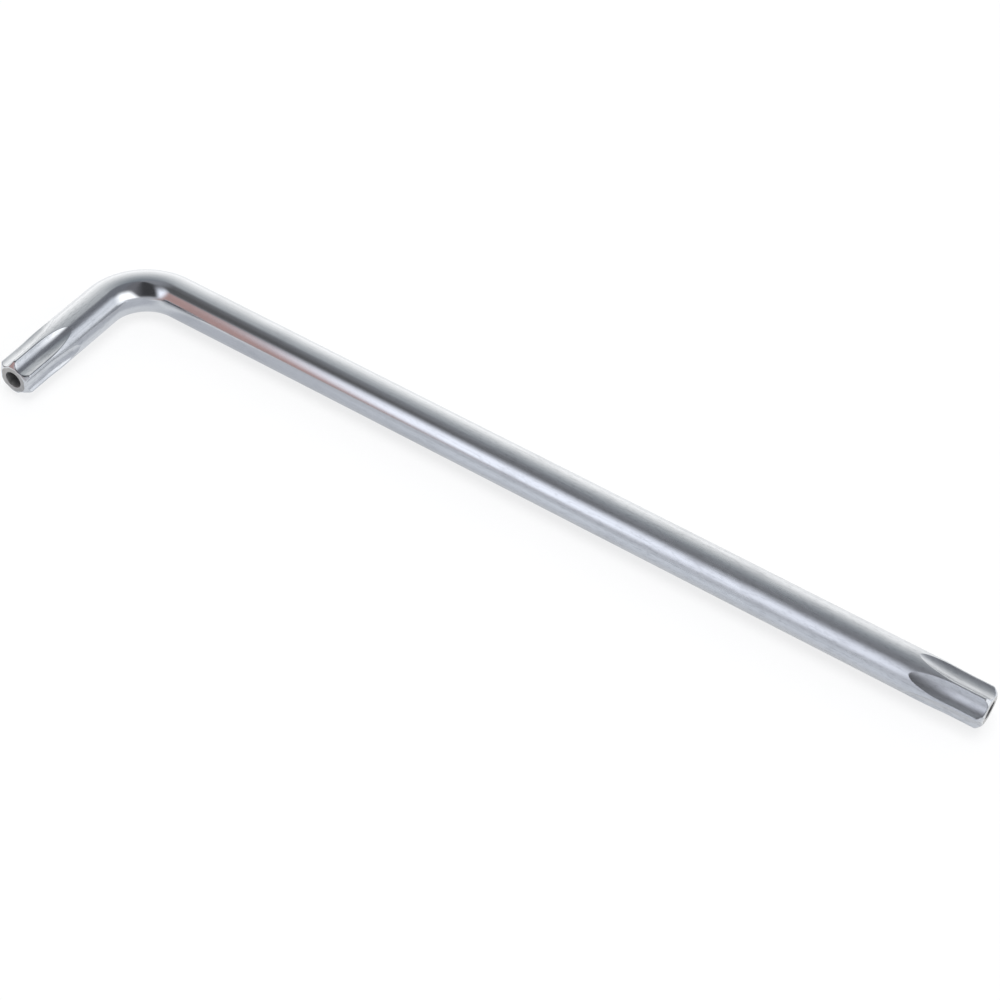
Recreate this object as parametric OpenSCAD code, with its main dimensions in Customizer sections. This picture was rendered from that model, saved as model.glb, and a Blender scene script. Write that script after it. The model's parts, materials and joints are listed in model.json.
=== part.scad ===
// Long-arm L-shaped star key of the pin-hole type, drawn in millimetres.
// The key lies flat with +Z up. The long arm runs along +X and the short arm towards -Y.
// The origin is the middle of the bottom of the key's box.
// The real key is one bar. Its zones are separate solids that meet on planes square to the bar.

/* [Bar] */
// Diameter of the round bar
bar_d = 9; // [8:0.1:11]
// Radius of the bend, at the middle of the bar
bend_r = 11.5; // [8:0.5:14]

/* [Arms] */
// Length over all along the long arm
long_overall = 204; // [80:1:300]
// Length over all along the short arm
short_overall = 44; // [40:0.5:90]

/* [Star ends] */
// Length of the star at its full depth
star_len = 5.7; // [4:0.1:12]
// Depth of a flute below the star's points
flute_depth = 1.21; // [0.9:0.01:1.3]
// Depth of the star's points below the bar's surface
point_relief = 0.11; // [0.05:0.01:0.3]
// Radius of a flute's hollow
flute_r = 2.9; // [2:0.05:3.2]
// Radius on which a flute's floor rises out of the bar
runout_r = 38; // [20:1:60]
// Depth of the chamfer on the points at the end face
chamfer_drop = 1.1; // [0.3:0.05:1.2]
// Length of that chamfer along the bar
chamfer_len = 1.1; // [0.2:0.05:1.6]
// Turn of the short arm's star about its own axis, in degrees
short_star_turn = 59; // [0:1:59]
// Turn of the long arm's star about its own axis, in degrees
long_star_turn = 21; // [0:1:59]

/* [Pin holes] */
// Diameter of the pin hole in each end face
pin_hole_d = 3.75; // [2.5:0.05:4.2]
// Depth of the straight wall of a pin hole
pin_hole_depth = 5.5; // [3:0.5:8]
// Full angle of the drill point at the bottom of a pin hole, in degrees
drill_point_angle = 118; // [90:1:140]

/* [Zones] */
// Plain bar kept behind each star's run-out
collar_len = 1; // [0.5:0.5:3]
// Straight bar kept at each end of the bend
tangent_len = 1; // [0.5:0.5:3]

/* [Hidden] */
$fn = 128;
// Number of points on the star
points = 6;
// How far a cut runs past the surface that it opens
overrun = 0.5;
// How much wider a flute is than one that just touches the rounds beside it, so that they cross
flank_bite = 0.03;
// Draft of the star's blank at the end face, as a share of the depth of the points below the bar
draft_share = 0.5;
// Cone behind the rounds: where it ends and how long it is, as shares of the star's length
cone_end_share = 0.97;
cone_len_share = 0.25;
// Reach of the cone, as a share of one that just comes out to the bar's surface
cone_reach_share = 1.1;
// How far the rounds run into the cone, as a share of its length
round_end_share = 0.85;

bar_r = bar_d / 2;
pitch = 360 / points;
crest_r = bar_r - point_relief;
root_r = crest_r - flute_depth;

// Axis of a flute, and of a slightly smaller one that the rounds beside it just touch
flute_at = root_r + flute_r;
flute_touch_r = flute_r - flank_bite;
flute_touch_at = root_r + flute_touch_r;
// Round at each point of the star, which touches both flutes beside it, and the circle of these rounds
flank_cos = cos(pitch / 2);
lobe_r = (pow(crest_r, 2) + pow(flute_touch_at, 2) - 2 * crest_r * flute_touch_at * flank_cos
    - pow(flute_touch_r, 2)) / (2 * (crest_r - flute_touch_at * flank_cos + flute_touch_r));
lobe_at = crest_r - lobe_r;

// Core that reaches to where a flute meets a round
touch_share = lobe_r / (lobe_r + flute_touch_r);
touch_x = lobe_at * flank_cos + touch_share * (flute_touch_at - lobe_at * flank_cos);
touch_y = lobe_at * sin(pitch / 2) * (1 - touch_share);
core_r = norm([touch_x, touch_y]);

// Run-out of a flute, an arc that rises from the floor to the bar's surface
runout_len = sqrt(pow(runout_r, 2) - pow(runout_r - (bar_r - root_r), 2));
runout_turn = acos((runout_r - (bar_r + overrun - root_r)) / runout_r);
flute_path_r = runout_r - flute_r;

// Cone in which the rounds end, which widens from the core to the bar
cone_end = cone_end_share * star_len;
cone_len = cone_len_share * star_len;
cone_r = core_r + cone_reach_share * (bar_r - core_r);
round_len = cone_end - cone_len + round_end_share * cone_len;

nose_at = star_len + runout_len;
tip_len = nose_at + collar_len;
// Blank at the end face, between the points and the bar's surface
blank_r = bar_r - draft_share * point_relief;
pin_hole_r = pin_hole_d / 2;
drill_point_len = pin_hole_r / tan(drill_point_angle / 2);

// Places along the two arms, measured from where their axes cross
long_end = long_overall - bar_r;
short_end = short_overall - bar_r;
bend_end = bend_r + tangent_len;
long_star_at = long_end - tip_len;
short_star_at = short_end - tip_len;
// Middle of the key's box, seen from above
box_mid = [long_overall / 2 - bar_r, bar_r - short_overall / 2];

steel = [0.75, 0.76, 0.78];

// Puts what is drawn about the crossing of the axes into the key's own frame
module in_frame() {
    translate([-box_mid.x, -box_mid.y, bar_r])
        children();
}

// Turns what is drawn along +Z so that it runs out along the long arm
module along_long_arm(at) {
    in_frame()
        translate([at, 0, 0])
            rotate([0, 90, 0])
                children();
}

// Turns what is drawn along +Z so that it runs out along the short arm
module along_short_arm(at) {
    in_frame()
        translate([0, -at, 0])
            rotate([90, 0, 0])
                children();
}

// Repeats a shape at every point of the star
module each_point(turn = 0) {
    for (i = [0 : points - 1])
        rotate([0, 0, turn + i * pitch])
            children();
}

// Round blank of a star end, with a little draft and a chamfer at its end face, which lies at z = 0
module tip_blank() {
    rotate_extrude()
        polygon([
            [0, -tip_len],
            [bar_r, -tip_len],
            [bar_r, -nose_at],
            [blank_r, -chamfer_len * (blank_r - crest_r + chamfer_drop) / chamfer_drop],
            [crest_r - chamfer_drop, 0],
            [0, 0]
        ]);
}

// Core with a round at each point of the star, and behind them a cone that widens to the full bar
module lobed_bar() {
    translate([0, 0, -tip_len])
        cylinder(h = tip_len + overrun, r = core_r);
    each_point()
        translate([lobe_at, 0, -round_len])
            cylinder(h = round_len + overrun, r = lobe_r);
    translate([0, 0, -cone_end])
        cylinder(h = cone_len, r1 = cone_r, r2 = core_r);
    translate([0, 0, -tip_len - overrun])
        cylinder(h = tip_len + overrun - cone_end, r = cone_r);
}

// One flute: a straight stretch, then an arc that lifts it out of the bar
module flute() {
    translate([flute_at, 0, -star_len])
        cylinder(h = star_len + overrun, r = flute_r);
    translate([flute_at + flute_path_r, 0, -star_len])
        rotate([90, 0, 0])
            rotate([0, 0, 180])
                rotate_extrude(angle = runout_turn)
                    translate([flute_path_r, 0])
                        circle(r = flute_r);
}

// Blind pin hole with a drill point at its bottom
module pin_hole() {
    translate([0, 0, -pin_hole_depth])
        cylinder(h = pin_hole_depth + overrun, r = pin_hole_r);
    translate([0, 0, -pin_hole_depth - drill_point_len])
        cylinder(h = drill_point_len, r1 = 0, r2 = pin_hole_r);
}

// Star end along +Z, with its end face at z = 0 and a point of the star towards +X
module star_tip() {
    difference() {
        intersection() {
            tip_blank();
            lobed_bar();
        }
        each_point(pitch / 2)
            flute();
        pin_hole();
    }
}

// Star end of the short arm. At no turn a point of the star faces up.
module short_star_tip() {
    color(steel)
        along_short_arm(short_end)
            rotate([0, 0, 90 - short_star_turn])
                star_tip();
}

// Round bar between the short arm's star and the bend
module short_arm() {
    color(steel)
        along_short_arm(bend_end)
            cylinder(h = short_star_at - bend_end, r = bar_r);
}

// Right-angle bend, with a short straight at each end
module bend() {
    color(steel) {
        in_frame()
            translate([bend_r, -bend_r, 0])
                rotate([0, 0, 90])
                    rotate_extrude(angle = 90)
                        translate([bend_r, 0])
                            circle(r = bar_r);
        along_long_arm(bend_r)
            cylinder(h = tangent_len, r = bar_r);
        along_short_arm(bend_r)
            cylinder(h = tangent_len, r = bar_r);
    }
}

// Round bar between the bend and the long arm's star
module long_arm() {
    color(steel)
        along_long_arm(bend_end)
            cylinder(h = long_star_at - bend_end, r = bar_r);
}

// Star end of the long arm. At no turn a point of the star faces up.
module long_star_tip() {
    color(steel)
        along_long_arm(long_end)
            rotate([0, 0, 180 + long_star_turn])
                star_tip();
}

short_star_tip();
short_arm();
bend();
long_arm();
long_star_tip();
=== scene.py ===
"""Looks of a long-arm star key: a bent steel bar with a pin-hole star on both ends, in satin chrome."""

import json
import math

import bmesh
import bpy
from bpy.props import FloatProperty, FloatVectorProperty, IntProperty, PointerProperty
from mathutils import Matrix, Vector


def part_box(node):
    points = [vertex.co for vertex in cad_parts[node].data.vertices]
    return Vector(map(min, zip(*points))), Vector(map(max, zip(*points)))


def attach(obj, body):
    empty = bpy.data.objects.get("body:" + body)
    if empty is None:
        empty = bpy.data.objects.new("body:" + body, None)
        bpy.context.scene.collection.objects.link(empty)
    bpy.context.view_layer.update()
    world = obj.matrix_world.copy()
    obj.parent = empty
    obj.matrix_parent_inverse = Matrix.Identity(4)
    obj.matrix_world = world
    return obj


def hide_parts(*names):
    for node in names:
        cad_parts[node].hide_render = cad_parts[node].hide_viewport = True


bl_info = {
    "name": "Star Key",
    "version": (1, 0, 0),
    "blender": (4, 5, 0),
    "location": "View3D > Sidebar > Star Key",
    "description": "Builds the visible pieces, finish and stage of a long-arm star key",
    "category": "Add Mesh",
}

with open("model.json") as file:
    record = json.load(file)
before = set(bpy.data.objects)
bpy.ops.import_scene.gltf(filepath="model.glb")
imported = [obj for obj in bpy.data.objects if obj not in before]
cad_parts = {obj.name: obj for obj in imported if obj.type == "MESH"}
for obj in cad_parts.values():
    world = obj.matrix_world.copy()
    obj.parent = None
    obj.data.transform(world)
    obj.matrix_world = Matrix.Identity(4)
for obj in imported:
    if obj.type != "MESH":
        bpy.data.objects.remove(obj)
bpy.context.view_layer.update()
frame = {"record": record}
BODY = "root"
MM = 0.001
UP = Vector((0, 0, 1))
WHITE = (1.0, 1.0, 1.0)

MOUNTS = {mount["name"]: mount for mount in frame["record"]["mounts"]}
BAR_R = MOUNTS["long_shank"]["dims"]["r_mm"] * MM
HOLE = MOUNTS["long_pin_hole"]["dims"]
HOLE_R = HOLE["r_mm"] * MM
HOLE_DEPTH = HOLE["length_mm"] * MM

BEND_LO, BEND_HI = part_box("bend")
LONG_LO, LONG_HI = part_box("long_arm")
SHORT_LO, SHORT_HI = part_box("short_arm")
LONG_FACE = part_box("long_star_tip")[1].x
SHORT_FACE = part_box("short_star_tip")[0].y
# Place where the axes of the two arms cross
CORNER = Vector((BEND_LO.x + BAR_R, BEND_HI.y - BAR_R, BAR_R))
TIP_LEN = LONG_FACE - LONG_HI.x

POINTS = 6
PITCH = math.tau / POINTS
# Steps of the mesh round half a flute: its hollow, then the round edge and the land beside it
HOLLOW_STEPS = 10
EDGE_STEPS = 14
HALF_STEPS = HOLLOW_STEPS + EDGE_STEPS
RING = 2 * POINTS * HALF_STEPS
# Least share of the steps beyond the hollow that goes to the round edge
EDGE_STEP_SHARE = 0.5
# Least spacing of the steps, as a share of an even one, and how far before a flute's nose it starts to grow
# to the full share that it has at the bar
LEAST_SPACING_SHARE = 0.1
SPACING_START = 0.6 * MM
# Where the points rise to the bar's surface and where their rounds narrow, as shares of the way from the end
# face to a flute's nose
CREST_SHARES = (0.35, 0.7)
EDGE_SHARES = (0.45, 0.7)
# Stretch of close rings about a flute's nose, and reach of those at the chamfer as a share of its length
PAST_NOSE = 0.4 * MM
BEFORE_NOSE = 1.2 * MM
CHAMFER_REACH_SHARE = 1.5
# Rings of the mesh along a star end, from the bar to the end face
COLLAR_RINGS = 4
NOSE_RINGS = 32
RUNOUT_RINGS = 44
STAR_RINGS = 12
CHAMFER_RINGS = 22
# Steps of the round at an end face's edges
ROUND_STEPS = 8
# Rings across the end face, down the hole's wall and down its drill point, as shares of each
FACE_SHARES = (0.25, 0.5, 0.75, 1)
WALL_SHARES = (0.1, 0.3, 0.5, 0.75, 1)
POINT_SHARES = (0.5, 1)

# Attribute that holds where a vertex would be if the bar were straight
PLACE = "bar_place"
# Finishes of a piece, in the order of its materials
SIDE, FACE, BORE = range(3)


class StarKeyBar(bpy.types.PropertyGroup):
    """Sizes of the bent bar."""
    bend_radius: FloatProperty(
        name="Bend radius", description="Radius of the bend at the middle of the bar",
        default=11.5 * MM, unit="LENGTH")
    bend_steps: IntProperty(
        name="Bend steps", description="Rings of the mesh round the bend", default=80)
    ring_pitch: FloatProperty(
        name="Ring pitch", description="Distance between the rings of the mesh on a straight arm",
        default=4 * MM, unit="LENGTH")


class StarKeyStar(bpy.types.PropertyGroup):
    """Sizes of the two star ends."""
    length: FloatProperty(
        name="Star length", description="Length of the star at its full depth",
        default=5.7 * MM, unit="LENGTH")
    relief: FloatProperty(
        name="Point relief", description="Depth of the star's points below the bar's surface",
        default=0.11 * MM, unit="LENGTH")
    depth: FloatProperty(
        name="Flute depth", description="Depth of a flute below the star's points",
        default=1.21 * MM, unit="LENGTH")
    flute: FloatProperty(
        name="Flute radius", description="Radius of a flute's hollow", default=2.9 * MM, unit="LENGTH")
    runout: FloatProperty(
        name="Run-out radius", description="Radius on which a flute's floor rises out of the bar",
        default=38 * MM, unit="LENGTH")
    nose_round: FloatProperty(
        name="Nose edge round", description="Radius of a flute's edge where it runs out into the bar",
        default=0.2 * MM, unit="LENGTH")
    nose_blend: FloatProperty(
        name="Nose blend", description="Depth over which a flute's nose fades into the bar",
        default=0.06 * MM, unit="LENGTH")
    chamfer_drop: FloatProperty(
        name="Chamfer drop", description="Depth of the chamfer on the points at the end face",
        default=1.1 * MM, unit="LENGTH")
    chamfer_length: FloatProperty(
        name="Chamfer length", description="Length of that chamfer along the bar",
        default=1.1 * MM, unit="LENGTH")
    face_round: FloatProperty(
        name="Face edge round", description="Radius of the outer edge of an end face",
        default=0.3 * MM, unit="LENGTH")
    rim_round: FloatProperty(
        name="Rim round", description="Radius of the edge at the pin hole's rim",
        default=0.1 * MM, unit="LENGTH")
    chamfer_blend: FloatProperty(
        name="Chamfer blend", description="Depth over which the chamfer's edge on the points is softened",
        default=0.28 * MM, unit="LENGTH")
    drill_angle: FloatProperty(
        name="Drill point angle", description="Full angle of the drill point at the bottom of a pin hole",
        default=math.radians(118), subtype="ANGLE")
    short_turn: FloatProperty(
        name="Short star turn", description="Turn of the short arm's star from straight up",
        default=math.radians(-1), subtype="ANGLE")
    long_turn: FloatProperty(
        name="Long star turn", description="Turn of the long arm's star from straight up",
        default=math.radians(21), subtype="ANGLE")


class StarKeyFinish(bpy.types.PropertyGroup):
    """Colours and roughness of the plating."""
    chrome: FloatVectorProperty(
        name="Chrome", description="Colour of the plating",
        default=(0.593, 0.606, 0.625), size=3, subtype="COLOR")
    haze: FloatVectorProperty(
        name="Haze", description="Colour of the plating where it is hazed by handling",
        default=(0.454, 0.466, 0.484), size=3, subtype="COLOR")
    cut: FloatVectorProperty(
        name="Cut face", description="Colour of the end faces",
        default=(0.34, 0.335, 0.335), size=3, subtype="COLOR")
    bore: FloatVectorProperty(
        name="Bore", description="Colour of the pin holes, where little plating reaches",
        default=(0.25, 0.245, 0.24), size=3, subtype="COLOR")
    bend_roughness: FloatProperty(
        name="Bend roughness", description="Roughness at the bend, where the plating is brightest",
        default=0.1, subtype="FACTOR")
    arm_roughness: FloatProperty(
        name="Arm roughness", description="Roughness at the long arm's far end",
        default=0.29, subtype="FACTOR")
    tip_roughness: FloatProperty(
        name="Short tip roughness", description="Roughness at the short arm's star",
        default=0.18, subtype="FACTOR")


class StarKeyStage(bpy.types.PropertyGroup):
    """Camera, floor and lamp."""
    azimuth: FloatProperty(
        name="Camera azimuth",
        description="Turn of the camera from straight in front towards the long arm's end",
        default=math.radians(28.475), subtype="ANGLE")
    elevation: FloatProperty(
        name="Camera elevation", description="Height of the camera above the horizon",
        default=math.radians(46.877), subtype="ANGLE")
    roll: FloatProperty(
        name="Camera roll", description="Turn of the picture about its middle",
        default=math.radians(5.68), subtype="ANGLE")
    distance: FloatProperty(
        name="Camera distance", description="Distance from the camera to the point that it looks at",
        default=455.34 * MM, unit="LENGTH")
    lens: FloatProperty(
        name="Lens", description="Focal length in millimetres", default=83.45, unit="CAMERA")
    look_at: FloatVectorProperty(
        name="Look at", description="Point in the middle of the picture",
        default=(0.18 * MM, 8.49 * MM, 4.5 * MM), size=3, subtype="TRANSLATION")
    floor_size: FloatProperty(
        name="Floor size", description="Side of the square floor", default=3, unit="LENGTH")
    lamp_size: FloatProperty(
        name="Lamp size", description="Width of the lamp over the key", default=1.2, unit="LENGTH")
    lamp_height: FloatProperty(
        name="Lamp height", description="Height of the lamp over the floor", default=1.5, unit="LENGTH")
    lamp_power: FloatProperty(name="Lamp power", description="Power of the lamp", default=13, unit="POWER")
    floor_lift: FloatProperty(
        name="Floor lift",
        description="Share of the floor that is plain white, so that the shadow stays light",
        default=0.75, subtype="FACTOR")


# Sockets of a Mix node that mixes colours
MIX_SHARE, MIX_FIRST, MIX_SECOND = 0, 6, 7
MIX_RESULT = 2


class Socket:
    """A shader's output socket that takes part in Python sums."""

    def __init__(self, tree, output=None):
        self.tree = tree
        self.output = output

    def node(self, kind, settings=(), inputs=(), output=0):
        """Adds a node of any type: its settings are set first, then the values or links of its sockets."""
        made = self.tree.nodes.new("ShaderNode" + kind)
        for name, value in dict(settings).items():
            setattr(made, name, value)
        for name, value in dict(inputs).items():
            if isinstance(value, Socket):
                self.tree.links.new(value.output, made.inputs[name])
            else:
                made.inputs[name].default_value = value
        return Socket(self.tree, made.outputs[output])

    def math(self, operation, *values):
        """Adds a Math node over the values."""
        return self.node("Math", {"operation": operation}, enumerate(values))

    def __add__(self, other):
        return self.math("ADD", self, other)

    def __sub__(self, other):
        return self.math("SUBTRACT", self, other)

    def __mul__(self, other):
        return self.math("MULTIPLY", self, other)

    def __rsub__(self, other):
        return self.math("SUBTRACT", other, self)

    __radd__ = __add__
    __rmul__ = __mul__

    def axis(self, name):
        """One axis of a vector."""
        return self.node("SeparateXYZ", (), {0: self}, name)

    def scaled(self, scale):
        """A vector whose axes are each scaled."""
        return self.node("VectorMath", {"operation": "MULTIPLY"}, {0: self, 1: scale})

    def fade(self, start, end):
        """A smooth step from 0 at start to 1 at end."""
        return self.node(
            "MapRange", {"interpolation_type": "SMOOTHSTEP"},
            {"Value": self, "From Min": start, "From Max": end})

    def window(self, low, high, soft):
        """1 between low and high, with soft ends."""
        return self.fade(low - soft, low + soft) * self.fade(high + soft, high - soft)

    def mix(self, first, second):
        """A colour that goes from the first to the second with this share."""
        return self.node(
            "Mix", {"data_type": "RGBA"},
            {MIX_SHARE: self, MIX_FIRST: colour(first), MIX_SECOND: colour(second)}, MIX_RESULT)

    def noise(self, scale=1.0, detail=2.0, roughness=0.6):
        """Noise about 0.5 over a vector."""
        return self.node(
            "TexNoise", (), {"Vector": self, "Scale": scale, "Detail": detail, "Roughness": roughness})


def colour(value):
    """A colour as a socket takes it."""
    return value if isinstance(value, Socket) else (*value, 1.0)


def shaded(value, share):
    """A colour at a share of its brightness."""
    return tuple(share * part for part in value)


def new_material(name):
    """A material with a Principled shader, and a socket to build from."""
    material = bpy.data.materials.new(name)
    material.use_nodes = True
    tree = material.node_tree
    return material, Socket(tree), tree.nodes["Principled BSDF"]


def link(shader, name, source):
    """Joins a socket of the sums to an input of a shader."""
    source.tree.links.new(source.output, shader.inputs[name])


def bar_place(start):
    """Where a point of the surface would be if the bar were straight."""
    return start.node("Attribute", {"attribute_name": PLACE}, (), "Vector")


def add_bump(shader, height, strength, distance):
    """Raises a shader's surface by a height."""
    link(shader, "Normal", height.node(
        "Bump", (), {"Strength": strength, "Distance": distance, "Height": height}, "Normal"))


# Noise of the plating, in cells per metre along the bar, across it and up, and its middle value
LINE_CELLS = (45.0, 2200.0, 2200.0)
GRAIN_CELLS = (700.0, 2300.0, 2300.0)
HAZE_CELLS = (90.0, 160.0, 160.0)
TICK_CELLS = (3000.0, 500.0, 500.0)
NOISE_MIDDLE = 0.5
# Values of the noise at which each mark starts to show and shows in full
HAZE_SPAN = (0.5, 0.72)
STREAK_SPAN = (0.48, 0.72)
FLECK_SPAN = (0.46, 0.72)
# Stretches along the bar over which it turns satin, in metres from the middle of the bend
ARM_SPAN = (0.01, 0.17)
TIP_SPAN = (-0.006, -0.018)
FAR_SPAN = (0.176, 0.186)
# Shares of the haze's colour that the marks bring, and how strong the wear is at the bend and at both ends
HAZE_SHARE = 0.35
STREAK_SHARE = 0.75
BEND_WEAR_SHARE = 0.15
END_WEAR_SHARE = 0.45
# Roughness that the far end, the lines and the haze add
FAR_ROUGHNESS = 0.09
LINE_ROUGHNESS = 0.1
HAZE_ROUGHNESS = 0.05
# Parts of the bump, and its strength and depth in metres
LINE_BUMP = 0.7
GRAIN_BUMP = 0.4
TICK_BUMP = 0.6
PLATING_BUMP = (0.5, 2.5e-6)


def satin_chrome(finish):
    """Plating with drawn lines, grain and haze, brightest at the bend and more satin towards both ends."""
    material, start, shader = new_material("satin_chrome")
    place = bar_place(start)
    along = place.axis("X")
    satin = along.fade(*ARM_SPAN)
    tip_satin = along.fade(*TIP_SPAN)
    far_satin = along.fade(*FAR_SPAN)
    lines = place.scaled(LINE_CELLS).noise(detail=3.0)
    grain = place.scaled(GRAIN_CELLS).noise()
    ticks = place.scaled(TICK_CELLS).noise() * tip_satin
    haze = place.scaled(HAZE_CELLS).noise(detail=4.0).fade(*HAZE_SPAN)
    wear = satin * END_WEAR_SHARE + tip_satin * END_WEAR_SHARE + BEND_WEAR_SHARE
    marks = lines.fade(*STREAK_SPAN) * STREAK_SHARE + grain.fade(*FLECK_SPAN)
    base = (haze * HAZE_SHARE + marks * wear).mix(finish.chrome, finish.haze)
    roughness = satin * (finish.arm_roughness - finish.bend_roughness) + finish.bend_roughness
    roughness = roughness + tip_satin * (finish.tip_roughness - finish.bend_roughness)
    roughness = roughness + far_satin * FAR_ROUGHNESS
    roughness = roughness + (lines - NOISE_MIDDLE) * LINE_ROUGHNESS + haze * HAZE_ROUGHNESS
    shader.inputs["Metallic"].default_value = 1.0
    link(shader, "Base Color", base)
    link(shader, "Roughness", roughness)
    add_bump(shader, lines * LINE_BUMP + grain * GRAIN_BUMP + ticks * TICK_BUMP, *PLATING_BUMP)
    return material


# End faces: radians per metre of the tool's rings, patches in cells per metre, the values over which they
# show and their shade, roughness and what the patches add, and the bump's strength and depth in metres
FACE_RING_RATE = 9000.0
FACE_PATCH_CELLS = 700.0
FACE_PATCH_SPAN = (0.4, 0.75)
FACE_PATCH_SHADE = 0.85
FACE_ROUGHNESS = 0.25
FACE_PATCH_ROUGHNESS = 0.2
FACE_BUMP = (0.3, 4e-6)


def cut_face(finish):
    """End faces: plated over the fine rings that the parting tool left."""
    material, start, shader = new_material("cut_face")
    place = bar_place(start)
    across = place.scaled((0.0, 1.0, 1.0))
    radius = start.node("VectorMath", {"operation": "LENGTH"}, {0: across}, "Value")
    patches = place.noise(FACE_PATCH_CELLS, detail=3.0)
    base = patches.fade(*FACE_PATCH_SPAN).mix(finish.cut, shaded(finish.cut, FACE_PATCH_SHADE))
    shader.inputs["Metallic"].default_value = 1.0
    link(shader, "Base Color", base)
    link(shader, "Roughness", patches * FACE_PATCH_ROUGHNESS + FACE_ROUGHNESS)
    add_bump(shader, start.math("SINE", radius * FACE_RING_RATE), *FACE_BUMP)
    return material


# Walls of the pin holes, in the same terms, with the drill's turns in place of the rings
WALL_TURN_RATE = 26000.0
WALL_PATCH_CELLS = 900.0
WALL_PATCH_SPAN = (0.35, 0.75)
WALL_PATCH_SHADE = 0.6
WALL_ROUGHNESS = 0.45
WALL_PATCH_ROUGHNESS = 0.2
WALL_BUMP = (0.4, 6e-6)


def drilled_wall(finish):
    """Walls of the pin holes: darker, with the drill's turns."""
    material, start, shader = new_material("drilled_wall")
    place = bar_place(start)
    patches = place.noise(WALL_PATCH_CELLS, detail=3.0)
    base = patches.fade(*WALL_PATCH_SPAN).mix(finish.bore, shaded(finish.bore, WALL_PATCH_SHADE))
    link(shader, "Base Color", base)
    link(shader, "Roughness", patches * WALL_PATCH_ROUGHNESS + WALL_ROUGHNESS)
    add_bump(shader, start.math("SINE", place.axis("X") * WALL_TURN_RATE), *WALL_BUMP)
    return material


def finishes():
    """The three finishes of the key, made once."""
    makers = {"satin_chrome": satin_chrome, "cut_face": cut_face, "drilled_wall": drilled_wall}
    finish = bpy.context.scene.star_key_finish
    return [bpy.data.materials.get(name) or maker(finish) for name, maker in makers.items()]


def straight_place(point, bend_radius):
    """Where a point of the bent bar would be if the bar were straight: along it, across it and up."""
    centre = CORNER + Vector((bend_radius, -bend_radius, 0))
    half_bend = bend_radius * math.pi / 4
    up = point.z - CORNER.z
    if point.x >= centre.x:
        return Vector((half_bend + point.x - centre.x, point.y - CORNER.y, up))
    if point.y <= centre.y:
        return Vector((-half_bend + point.y - centre.y, CORNER.x - point.x, up))
    arm = Vector((point.x - centre.x, point.y - centre.y))
    turn = math.atan2(-arm.x, arm.y)
    return Vector((bend_radius * (math.pi / 4 - turn), arm.length - bend_radius, up))


def start_ring(mesh, matrix):
    """The first ring of a piece, a circle of the bar's radius. Its vertices know their slot in the ring."""
    slot = mesh.verts.layers.int.new("slot")
    made = bmesh.ops.create_circle(mesh, cap_ends=False, segments=RING, radius=BAR_R, matrix=matrix)
    for index, vert in enumerate(made["verts"]):
        vert[slot] = index
    return list(dict.fromkeys(edge for vert in made["verts"] for edge in vert.link_edges))


def ring_verts(edges):
    """The vertices of a ring of edges, each once."""
    return list(dict.fromkeys(vert for edge in edges for vert in edge.verts))


def extrude_ring(mesh, edges, zone=SIDE):
    """Extrudes a ring of edges and returns the new ring. The new faces take the finish of their zone."""
    made = bmesh.ops.extrude_edge_only(mesh, edges=edges)["geom"]
    for item in made:
        if isinstance(item, bmesh.types.BMFace):
            item.material_index = zone
    fresh = {item for item in made if isinstance(item, bmesh.types.BMVert)}
    return [item for item in made if isinstance(item, bmesh.types.BMEdge) and set(item.verts) <= fresh]


def close_end(mesh, edges):
    """Closes a ring with a flat face and keeps its edge crisp, so that the bar shades on over the joint."""
    bmesh.ops.contextual_create(mesh, geom=edges)
    for edge in edges:
        edge.smooth = False


def finish_piece(mesh, name):
    """Turns a mesh into a piece that rides on the key, stands for its node and has the key's finishes."""
    bmesh.ops.recalc_face_normals(mesh, faces=mesh.faces)
    for face in mesh.faces:
        face.smooth = True
    data = bpy.data.meshes.new(name)
    mesh.to_mesh(data)
    mesh.free()
    bend_radius = bpy.context.scene.star_key_bar.bend_radius
    places = data.attributes.new(PLACE, "FLOAT_VECTOR", "POINT")
    flat = [part for vert in data.vertices for part in straight_place(vert.co, bend_radius)]
    places.data.foreach_set("vector", flat)
    for material in finishes():
        data.materials.append(material)
    piece = bpy.data.objects.new(name + "_visual", data)
    bpy.context.scene.collection.objects.link(piece)
    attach(piece, BODY)
    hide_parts(name)
    return piece


def facing(direction, origin):
    """A matrix whose local Z points in a level direction, and whose local X is up."""
    out = Vector(direction).normalized()
    turned = Matrix((UP, out.cross(UP), out)).transposed().to_4x4()
    turned.translation = origin
    return turned


def make_arm(name, start, end):
    """A straight stretch of the bar, extruded from ring to ring."""
    mesh = bmesh.new()
    along = end - start
    steps = math.ceil(along.length / bpy.context.scene.star_key_bar.ring_pitch)
    edges = start_ring(mesh, facing(along, start))
    close_end(mesh, edges)
    for _ in range(steps):
        edges = extrude_ring(mesh, edges)
        bmesh.ops.translate(mesh, verts=ring_verts(edges), vec=along / steps)
    close_end(mesh, edges)
    return finish_piece(mesh, name)


class STARKEY_OT_arms(bpy.types.Operator):
    """Make the two straight arms"""
    bl_idname = "star_key.arms"
    bl_label = "Arms"

    def execute(self, context):
        x, y, z = CORNER
        make_arm("short_arm", Vector((x, SHORT_HI.y, z)), Vector((x, SHORT_LO.y, z)))
        make_arm("long_arm", Vector((LONG_LO.x, y, z)), Vector((LONG_HI.x, y, z)))
        return {"FINISHED"}


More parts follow.
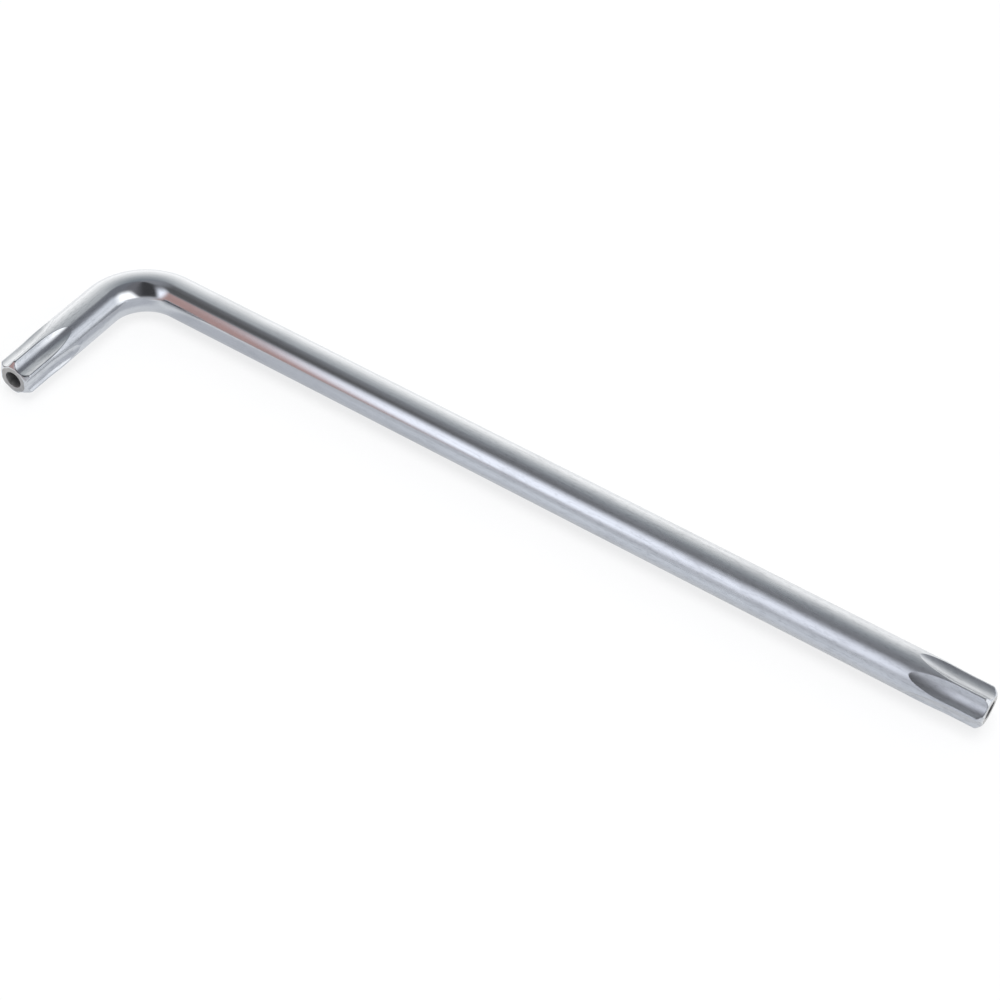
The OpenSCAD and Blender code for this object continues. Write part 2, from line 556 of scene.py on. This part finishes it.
class STARKEY_OT_bend(bpy.types.Operator):
    """Make the right-angle bend"""
    bl_idname = "star_key.bend"
    bl_label = "Bend"

    def execute(self, context):
        bar = context.scene.star_key_bar
        centre = CORNER + Vector((bar.bend_radius, -bar.bend_radius, 0))
        mesh = bmesh.new()
        edges = start_ring(mesh, facing((-1, 0, 0), Vector((BEND_HI.x, CORNER.y, CORNER.z))))
        close_end(mesh, edges)
        edges = extrude_ring(mesh, edges)
        bmesh.ops.translate(mesh, verts=ring_verts(edges), vec=(centre.x - BEND_HI.x, 0, 0))
        spun = bmesh.ops.spin(
            mesh, geom=ring_verts(edges) + edges, cent=centre, axis=UP, angle=math.pi / 2,
            steps=bar.bend_steps, use_duplicate=False)
        edges = [item for item in spun["geom_last"] if isinstance(item, bmesh.types.BMEdge)]
        edges = extrude_ring(mesh, edges)
        bmesh.ops.translate(mesh, verts=ring_verts(edges), vec=(0, BEND_LO.y - centre.y, 0))
        close_end(mesh, edges)
        finish_piece(mesh, "bend")
        return {"FINISHED"}


def smooth_step(value, start, end):
    """A smooth step from 0 at start to 1 at end."""
    share = min(max((value - start) / (end - start), 0), 1)
    return share * share * (3 - 2 * share)


def lower_of(first, second, blend):
    """The lower of two values, with a smooth change from one to the other."""
    near = max(blend - abs(first - second), 0)
    return min(first, second) - near * near / (4 * blend)


def nose_place(star):
    """Distance behind the end face at which a flute's floor comes out of the bar."""
    return star.length + math.sqrt(star.runout ** 2 - (star.runout - star.relief - star.depth) ** 2)


class StarOutline:
    """Half of one flute, from its middle to the middle of a point, at a distance behind the end face."""

    def __init__(self, star, behind):
        crest = BAR_R - star.relief
        root = crest - star.depth
        nose = nose_place(star)
        rise_len = min(max(behind - star.length, 0), star.runout)
        rise = star.runout - math.sqrt(star.runout ** 2 - rise_len ** 2)
        self.hollow = star.flute
        self.crest = crest + star.relief * smooth_step(behind / nose, *CREST_SHARES)
        self.floor = lower_of(root + rise, self.crest, star.nose_blend)
        self.axis = self.floor + self.hollow
        # Round at a point: one that touches both flutes beside it, which narrows towards the nose
        cosine = math.cos(PITCH / 2)
        full = self.crest ** 2 + self.axis ** 2 - 2 * self.crest * self.axis * cosine - self.hollow ** 2
        full = full / (2 * (self.crest - self.axis * cosine + self.hollow))
        narrowed = smooth_step(behind / nose, *EDGE_SHARES)
        self.edge = full + (min(full, star.nose_round) - full) * narrowed
        self.edge_at = self.crest - self.edge
        share = self.edge_at ** 2 + self.axis ** 2 - (self.edge + self.hollow) ** 2
        share = share / (2 * self.edge_at * self.axis)
        self.edge_turn = math.acos(min(max(share, -1), 1))
        # Place where the hollow meets the round edge
        part = self.hollow / (self.hollow + self.edge)
        meet_x = self.axis + part * (self.edge_at * math.cos(self.edge_turn) - self.axis)
        meet_y = part * self.edge_at * math.sin(self.edge_turn)
        self.meet_turn = math.atan2(meet_y, meet_x)
        self.meet_swing = math.atan2(meet_y, self.axis - meet_x)
        evened = smooth_step(behind, nose - SPACING_START, TIP_LEN)
        self.spacing = evened * (1 - LEAST_SPACING_SHARE) + LEAST_SPACING_SHARE

    def radius(self, turn):
        """Radius of the outline at a turn from the middle of the flute."""
        if turn < self.meet_turn:
            return self.axis * math.cos(turn) - math.sqrt(
                max(self.hollow ** 2 - (self.axis * math.sin(turn)) ** 2, 0))
        if turn < self.edge_turn:
            off = turn - self.edge_turn
            return self.edge_at * math.cos(off) + math.sqrt(
                max(self.edge ** 2 - (self.edge_at * math.sin(off)) ** 2, 0))
        return self.crest

    def turns(self):
        """Turns of the mesh's steps, which follow the hollow, the round edge and the land."""
        listed = []
        for step in range(HOLLOW_STEPS + 1):
            swing = self.meet_swing * step / HOLLOW_STEPS
            listed.append(math.atan2(
                self.hollow * math.sin(swing), self.axis - self.hollow * math.cos(swing)))
        edge_len = self.edge * (math.pi / 2)
        land_len = self.crest * (PITCH / 2 - self.edge_turn)
        edge_share = max(edge_len / (edge_len + max(land_len, 0)), EDGE_STEP_SHARE)
        for step in range(1, EDGE_STEPS + 1):
            share = step / EDGE_STEPS
            if share <= edge_share:
                part = share / edge_share
                listed.append(self.meet_turn + part * (self.edge_turn - self.meet_turn))
            else:
                part = (share - edge_share) / (1 - edge_share)
                listed.append(self.edge_turn + part * (PITCH / 2 - self.edge_turn))
        least = PITCH / 2 / HALF_STEPS * self.spacing
        return [max(turn, least * step) for step, turn in enumerate(listed)]

    def steps(self):
        """Turn and radius of each step of the mesh."""
        return [(turn, self.radius(turn)) for turn in self.turns()]


def stations(star):
    """Distances behind the end face of the rings along a star end, from the bar towards the face."""
    nose = nose_place(star)
    chamfer_end = CHAMFER_REACH_SHARE * star.chamfer_length
    stretches = (
        (TIP_LEN, nose + PAST_NOSE, COLLAR_RINGS),
        (nose + PAST_NOSE, nose - BEFORE_NOSE, NOSE_RINGS),
        (nose - BEFORE_NOSE, star.length, RUNOUT_RINGS),
        (star.length, chamfer_end, STAR_RINGS),
        (chamfer_end, star.face_round, CHAMFER_RINGS),
    )
    return [
        start + (end - start) * step / count
        for start, end, count in stretches for step in range(1, count + 1)]


def quarter_turn():
    """Swings of the steps of a rounded edge."""
    return [math.pi / 2 * step / ROUND_STEPS for step in range(1, ROUND_STEPS + 1)]


class StarTip:
    """A star end in the making, extruded ring by ring from the bar to the bottom of its pin hole."""

    def __init__(self, face, inward, sideways, turn):
        self.star = bpy.context.scene.star_key_star
        self.face = face
        self.inward = Vector(inward)
        self.sideways = Vector(sideways)
        self.turn = turn
        self.mesh = bmesh.new()
        self.edges = start_ring(self.mesh, facing(self.inward, face + self.inward * TIP_LEN))
        self.slot = self.mesh.verts.layers.int["slot"]

    def place_ring(self, steps, behind):
        """Puts the newest ring at a distance behind the face, with a turn and radius for each step."""
        middle = self.face + self.inward * behind
        for vert in ring_verts(self.edges):
            flute, step = divmod(vert[self.slot], 2 * HALF_STEPS)
            side = step - HALF_STEPS
            angle, radius = steps[abs(side)]
            around = self.turn + (flute + 0.5) * PITCH + math.copysign(angle, side)
            vert.co = middle + radius * (UP * math.cos(around) + self.sideways * math.sin(around))

    def add_ring(self, steps, behind, zone=SIDE):
        """Extrudes the newest ring and places the new one."""
        self.edges = extrude_ring(self.mesh, self.edges, zone)
        self.place_ring(steps, behind)

    def chamfered(self, behind):
        """Outline of the star with its points cut by the chamfer."""
        star = self.star
        face_r = BAR_R - star.relief - star.chamfer_drop
        cone = face_r + star.chamfer_drop * behind / star.chamfer_length
        return [
            (angle, lower_of(radius, cone, star.chamfer_blend))
            for angle, radius in StarOutline(star, behind).steps()]

    def add_flutes(self):
        """Six flutes that run out into the bar, and the rounded edge of the end face."""
        self.place_ring(StarOutline(self.star, TIP_LEN).steps(), TIP_LEN)
        close_end(self.mesh, self.edges)
        for behind in stations(self.star):
            self.add_ring(self.chamfered(behind), behind)
        for swing in quarter_turn():
            behind = self.star.face_round * (1 - math.sin(swing))
            drop = self.star.face_round * (1 - math.cos(swing))
            self.add_ring([(angle, radius - drop) for angle, radius in self.chamfered(behind)], behind)

    def add_face(self):
        """The end face, and the rounded rim of the pin hole."""
        rim_round = self.star.rim_round
        rim = HOLE_R + rim_round
        outer = [(angle, radius - self.star.face_round) for angle, radius in self.chamfered(0)]
        for share in FACE_SHARES:
            self.add_ring([(angle, radius + share * (rim - radius)) for angle, radius in outer], 0, FACE)
        for swing in quarter_turn():
            radius = rim - rim_round * math.sin(swing)
            self.add_ring(
                [(angle, radius) for angle, _ in outer], rim_round * (1 - math.cos(swing)), FACE)

    def add_hole(self):
        """The blind pin hole with its drill point."""
        rim_round = self.star.rim_round
        point_len = HOLE_R / math.tan(self.star.drill_angle / 2)
        angles = [angle for angle, _ in self.chamfered(0)]
        for share in WALL_SHARES:
            behind = rim_round + share * (HOLE_DEPTH - rim_round)
            self.add_ring([(angle, HOLE_R) for angle in angles], behind, BORE)
        for share in POINT_SHARES:
            radius = HOLE_R * (1 - share)
            self.add_ring([(angle, radius) for angle in angles], HOLE_DEPTH + share * point_len, BORE)
        bottom = self.face + self.inward * (HOLE_DEPTH + point_len)
        bmesh.ops.pointmerge(self.mesh, verts=ring_verts(self.edges), merge_co=bottom)


def make_star_tip(name, face, inward, sideways, turn):
    """A star end: six flutes that run out into the bar, a chamfered end face and a blind pin hole."""
    tip = StarTip(face, inward, sideways, turn)
    tip.add_flutes()
    tip.add_face()
    tip.add_hole()
    return finish_piece(tip.mesh, name)


class STARKEY_OT_star_tips(bpy.types.Operator):
    """Make the star ends of both arms"""
    bl_idname = "star_key.star_tips"
    bl_label = "Star Ends"

    def execute(self, context):
        star = context.scene.star_key_star
        x, y, z = CORNER
        make_star_tip("short_star_tip", Vector((x, SHORT_FACE, z)), (0, 1, 0), (1, 0, 0), star.short_turn)
        make_star_tip("long_star_tip", Vector((LONG_FACE, y, z)), (-1, 0, 0), (0, -1, 0), star.long_turn)
        return {"FINISHED"}


# The studio as the plating mirrors it. A turn goes from straight in front towards the long arm's end, and a
# height goes up from the horizon, both in degrees. A pair says where a change starts and where it ends, and
# three numbers give a window with its two sides and their softness.
# Pale wall behind, and its darker stretch to the right
WALL_LOW = (1.58, 1.57, 1.55)
WALL_HIGH = (0.27, 0.305, 0.34)
WALL_HEIGHTS = (-5.0, 90.0)
RIGHT_WALL_LOW = (0.96, 1.0, 1.08)
RIGHT_WALL_HIGH = (0.24, 0.25, 0.28)
RIGHT_WALL_HEIGHTS = (27.0, 46.0)
RIGHT_WALL_TURNS = (60.0, 168.0, 8.0)
# Dark room in front, with a lighter ceiling to the left and a light horizon
ROOM_LEFT = (0.14, 0.14, 0.145)
ROOM_FRONT = (0.07, 0.07, 0.075)
ROOM_RIGHT = (0.22, 0.22, 0.24)
ROOM_FRONT_TURNS = (-20.0, 4.0)
ROOM_RIGHT_TURNS = (35.0, 72.0)
CEILING = (0.34, 0.35, 0.38)
CEILING_HEIGHTS = (54.0, 74.0)
CEILING_TURNS = (10.0, -30.0)
HORIZON = (0.72, 0.73, 0.78)
HORIZON_HEIGHTS = (16.0, -3.0)
# Change from the room to the wall, in the Y part of a direction
WALL_DEPTHS = (-0.05, 0.2)
# White card to the right, whose near side leans with its height
CARD = (1.85, 1.87, 1.9)
CARD_LEAN = 0.6
CARD_NEAR_TURNS = (41.0, 61.0)
CARD_FAR_TURNS = (130.0, 102.0)
CARD_FOOT_HEIGHTS = (0.0, 10.0)
CARD_TOP_HEIGHTS = (57.0, 31.0)
# Window in front
WINDOW = (1.55, 1.6, 1.75)
WINDOW_TURNS = (-33.0, 0.0, 10.0)
WINDOW_FOOT_HEIGHTS = (-4.0, 14.0)
WINDOW_TOP_HEIGHTS = (70.0, 28.0)


def paint_surroundings(world):
    """A studio as the bar mirrors it: pale wall behind, window in front, white card right, dark room."""
    world.use_nodes = True
    tree = world.node_tree
    start = Socket(tree)
    ray = start.node("TexCoord", (), (), "Generated")
    back = ray.axis("Y")
    height = start.math("ARCSINE", ray.axis("Z")) * math.degrees(1)
    turn = start.math("ARCTAN2", ray.axis("X"), back * -1.0) * math.degrees(1)
    wall = height.fade(*WALL_HEIGHTS).mix(WALL_LOW, WALL_HIGH)
    right_wall = height.fade(*RIGHT_WALL_HEIGHTS).mix(RIGHT_WALL_LOW, RIGHT_WALL_HIGH)
    wall = turn.window(*RIGHT_WALL_TURNS).mix(wall, right_wall)
    room = turn.fade(*ROOM_FRONT_TURNS).mix(ROOM_LEFT, ROOM_FRONT)
    room = turn.fade(*ROOM_RIGHT_TURNS).mix(room, ROOM_RIGHT)
    room = (height.fade(*CEILING_HEIGHTS) * turn.fade(*CEILING_TURNS)).mix(room, CEILING)
    room = height.fade(*HORIZON_HEIGHTS).mix(room, HORIZON)
    studio = back.fade(*WALL_DEPTHS).mix(room, wall)
    card = (turn - height * CARD_LEAN).fade(*CARD_NEAR_TURNS) * turn.fade(*CARD_FAR_TURNS)
    card = card * height.fade(*CARD_FOOT_HEIGHTS) * height.fade(*CARD_TOP_HEIGHTS)
    studio = card.mix(studio, CARD)
    window = turn.window(*WINDOW_TURNS)
    window = window * height.fade(*WINDOW_FOOT_HEIGHTS) * height.fade(*WINDOW_TOP_HEIGHTS)
    studio = window.mix(studio, WINDOW)
    seen = start.node("LightPath", (), (), "Is Camera Ray").mix(studio, WHITE)
    link(tree.nodes["Background"], "Color", seen)


def stage_material(name):
    """A material with no shader yet, and a socket to build from."""
    material, start, shader = new_material(name)
    start.tree.nodes.remove(shader)
    return material, start


def show(shader):
    """Joins a shader to its material's output."""
    link(shader.tree.nodes["Material Output"], "Surface", shader)


# Tones of the floor as the plating mirrors it, all painted light and shade: painted shade in front of the
# key, a painted pool of light close to the long arm, painted brown shade by the brown card, and painted
# light about the bend and behind the key
FLOOR_FRONT_SHADE = (0.69, 0.71, 0.76)
FLOOR_GLOW_LIGHT = (0.95, 0.99, 1.06)
FLOOR_WARM_SHADE = (0.52, 0.42, 0.4)
FLOOR_CORNER_LIGHT = (0.97, 0.99, 1.02)
FLOOR_BEHIND_LIGHT = (1.2, 1.2, 1.19)
# Places over which the painted light and shade change, in metres: depths are along Y, and sides along X
NEAR_DEPTHS = (-0.05, -0.03)
INNER_SIDES = (-0.07, -0.086)
INNER_DEPTHS = (-0.008, -0.016)
CORNER_SIDES = (-0.086, -0.0905)
LEFT_SIDES = (-0.096, -0.106)
BEHIND_DEPTHS = (0.009, 0.021)
BEHIND_LEAN = 0.02
GLOW_DEPTHS = (0.001, 0.01, 0.006)
GLOW_SIDES = (-0.07, 0.0)
WARM_DEPTHS = (-0.02, -0.07)
WARM_SIDES = (-0.045, -0.08)
# Shares of the floor that show plainly in a mirror and through glass
MIRRORED_LIFT = 0.65
THROUGH_LIFT = 0.5
# Drop of the floor below the key, so that the two don't share a plane
FLOOR_DROP = 0.02 * MM


def floor_material(stage):
    """A pale floor, white to the camera and with a light shadow, whose painted light and shade the plating
    mirrors.
    """
    material, start = stage_material("pale_floor")
    seen = start.node("LightPath", (), (), "Is Camera Ray")
    mirrored = start.node("LightPath", (), (), "Is Glossy Ray")
    through = start.node("LightPath", (), (), "Is Transmission Ray")
    place = start.node("TexCoord", (), (), "Object")
    side = place.axis("X")
    depth = place.axis("Y")
    # Masks that place the painted light and shade on the floor
    near = depth.fade(*NEAR_DEPTHS)
    inner = side.fade(*INNER_SIDES) * depth.fade(*INNER_DEPTHS)
    corner = start.math("MAXIMUM", inner, side.fade(*CORNER_SIDES)) * near
    left = side.fade(*LEFT_SIDES) * near
    behind = start.math("MAXIMUM", (depth + side * BEHIND_LEAN).fade(*BEHIND_DEPTHS), left)
    painted_glow = depth.window(*GLOW_DEPTHS) * side.fade(*GLOW_SIDES)
    painted_warm_shade = depth.fade(*WARM_DEPTHS) * side.fade(*WARM_SIDES)
    # Painted light and shade: shade in front, a pool of light by the long arm, brown shade, light at bend
    # and behind
    painted_light_and_shade = painted_glow.mix(FLOOR_FRONT_SHADE, FLOOR_GLOW_LIGHT)
    painted_light_and_shade = painted_warm_shade.mix(painted_light_and_shade, FLOOR_WARM_SHADE)
    painted_light_and_shade = corner.mix(painted_light_and_shade, FLOOR_CORNER_LIGHT)
    painted_light_and_shade = behind.mix(painted_light_and_shade, FLOOR_BEHIND_LIGHT)
    tint = seen.mix(painted_light_and_shade, WHITE)
    lit = start.node("BsdfDiffuse", (), {"Color": tint})
    plain = start.node("Emission", (), {"Color": tint})
    lift = seen * stage.floor_lift + mirrored * MIRRORED_LIFT + through * THROUGH_LIFT
    show(start.node("MixShader", (), {0: lift, 1: lit, 2: plain}))
    return material


def stage_mesh(name, corners, material):
    """A flat card of the stage, between its corners."""
    mesh = bmesh.new()
    mesh.faces.new([mesh.verts.new(corner) for corner in corners])
    data = bpy.data.meshes.new(name)
    mesh.to_mesh(data)
    mesh.free()
    data.materials.append(material)
    card = bpy.data.objects.new(name, data)
    bpy.context.scene.collection.objects.link(card)
    return card


def make_floor(stage):
    """A square floor just below the key."""
    half = stage.floor_size / 2
    corners = ((-half, -half), (half, -half), (half, half), (-half, half))
    stage_mesh("floor", [(x, y, -FLOOR_DROP) for x, y in corners], floor_material(stage))


# Brown card in front of the bend: its place in metres, and where its leaning side and its top fade out
WARM_CARD = (0.62, 0.41, 0.39)
WARM_CARD_LEFT = -0.36
WARM_CARD_RIGHT = -0.06
WARM_CARD_FRONT = -0.17
WARM_CARD_FOOT = 0.002
WARM_CARD_TOP = 0.24
WARM_CARD_LEAN = 0.5
WARM_CARD_SIDES = (-0.14, -0.06)
WARM_CARD_HEIGHTS = (0.16, 0.23)


def warm_card():
    """A brown card in front of the bend, which only the plating mirrors."""
    material, start = stage_material("warm_card")
    place = start.node("TexCoord", (), (), "Object")
    up = place.axis("Z")
    leaning = place.axis("X") + up * WARM_CARD_LEAN
    faded = start.math("MAXIMUM", leaning.fade(*WARM_CARD_SIDES), up.fade(*WARM_CARD_HEIGHTS))
    clear = start.node("BsdfTransparent")
    plain = start.node("Emission", (), {"Color": colour(WARM_CARD)})
    show(start.node("MixShader", (), {0: faded, 1: plain, 2: clear}))
    foot = [(x, WARM_CARD_FRONT, WARM_CARD_FOOT) for x in (WARM_CARD_LEFT, WARM_CARD_RIGHT)]
    top = [(x, WARM_CARD_FRONT, WARM_CARD_TOP) for x in (WARM_CARD_RIGHT, WARM_CARD_LEFT)]
    card = stage_mesh("warm_card", foot + top, material)
    card.visible_camera = False
    card.visible_diffuse = False
    card.visible_shadow = False
    card.visible_transmission = False


def soft_lamp(stage):
    """A broad lamp over the key that lights the floor and that the plating doesn't mirror."""
    data = bpy.data.lights.new("soft_lamp", "AREA")
    data.shape = "DISK"
    data.size = stage.lamp_size
    data.energy = stage.lamp_power
    lamp = bpy.data.objects.new("soft_lamp", data)
    lamp.location = (0, 0, stage.lamp_height)
    lamp.visible_glossy = False
    bpy.context.scene.collection.objects.link(lamp)


# Width of the camera's sensor in millimetres, and the nearest that it sees in metres
SENSOR_WIDTH = 36
NEAREST = 0.01


def make_camera(stage):
    """The camera at the photograph's viewing angle."""
    data = bpy.data.cameras.new("camera")
    data.sensor_width = SENSOR_WIDTH
    data.lens = stage.lens
    data.clip_start = NEAREST
    reach = math.cos(stage.elevation)
    back = Vector((
        math.sin(stage.azimuth) * reach, -math.cos(stage.azimuth) * reach, math.sin(stage.elevation)))
    level = Vector((math.cos(stage.azimuth), math.sin(stage.azimuth), 0))
    right = math.cos(stage.roll) * level + math.sin(stage.roll) * back.cross(level)
    camera = bpy.data.objects.new("camera", data)
    turned = Matrix((right, back.cross(right), back)).transposed().to_4x4()
    turned.translation = Vector(stage.look_at) + back * stage.distance
    camera.matrix_world = turned
    bpy.context.scene.collection.objects.link(camera)
    bpy.context.scene.camera = camera


class STARKEY_OT_stage(bpy.types.Operator):
    """Make the camera, the floor and the surroundings"""
    bl_idname = "star_key.stage"
    bl_label = "Stage"

    def execute(self, context):
        scene = context.scene
        stage = scene.star_key_stage
        make_camera(stage)
        scene.world = scene.world or bpy.data.worlds.new("studio")
        paint_surroundings(scene.world)
        make_floor(stage)
        warm_card()
        soft_lamp(stage)
        scene.view_settings.view_transform = "Standard"
        return {"FINISHED"}


class STARKEY_PT_panel(bpy.types.Panel):
    """Lists the pieces of the star key"""
    bl_idname = "STARKEY_PT_panel"
    bl_label = "Star Key"
    bl_space_type = "VIEW_3D"
    bl_region_type = "UI"
    bl_category = "Star Key"

    def draw(self, context):
        for operator in OPERATORS:
            self.layout.operator(operator.bl_idname)
        for group in GROUPS:
            values = getattr(context.scene, group)
            box = self.layout.box()
            for name in values.__annotations__:
                box.prop(values, name)


OPERATORS = (STARKEY_OT_stage, STARKEY_OT_arms, STARKEY_OT_bend, STARKEY_OT_star_tips)
GROUPS = {
    "star_key_bar": StarKeyBar,
    "star_key_star": StarKeyStar,
    "star_key_finish": StarKeyFinish,
    "star_key_stage": StarKeyStage,
}


def register():
    for group in GROUPS.values():
        bpy.utils.register_class(group)
    for name, group in GROUPS.items():
        setattr(bpy.types.Scene, name, PointerProperty(type=group))
    for made in (*OPERATORS, STARKEY_PT_panel):
        bpy.utils.register_class(made)


def unregister():
    for made in reversed((*OPERATORS, STARKEY_PT_panel)):
        bpy.utils.unregister_class(made)
    for name in GROUPS:
        delattr(bpy.types.Scene, name)
    for group in GROUPS.values():
        bpy.utils.unregister_class(group)


def main():
    register()
    bpy.ops.star_key.stage()
    bpy.ops.star_key.arms()
    bpy.ops.star_key.bend()
    bpy.ops.star_key.star_tips()


if __name__ == "__main__":
    main()
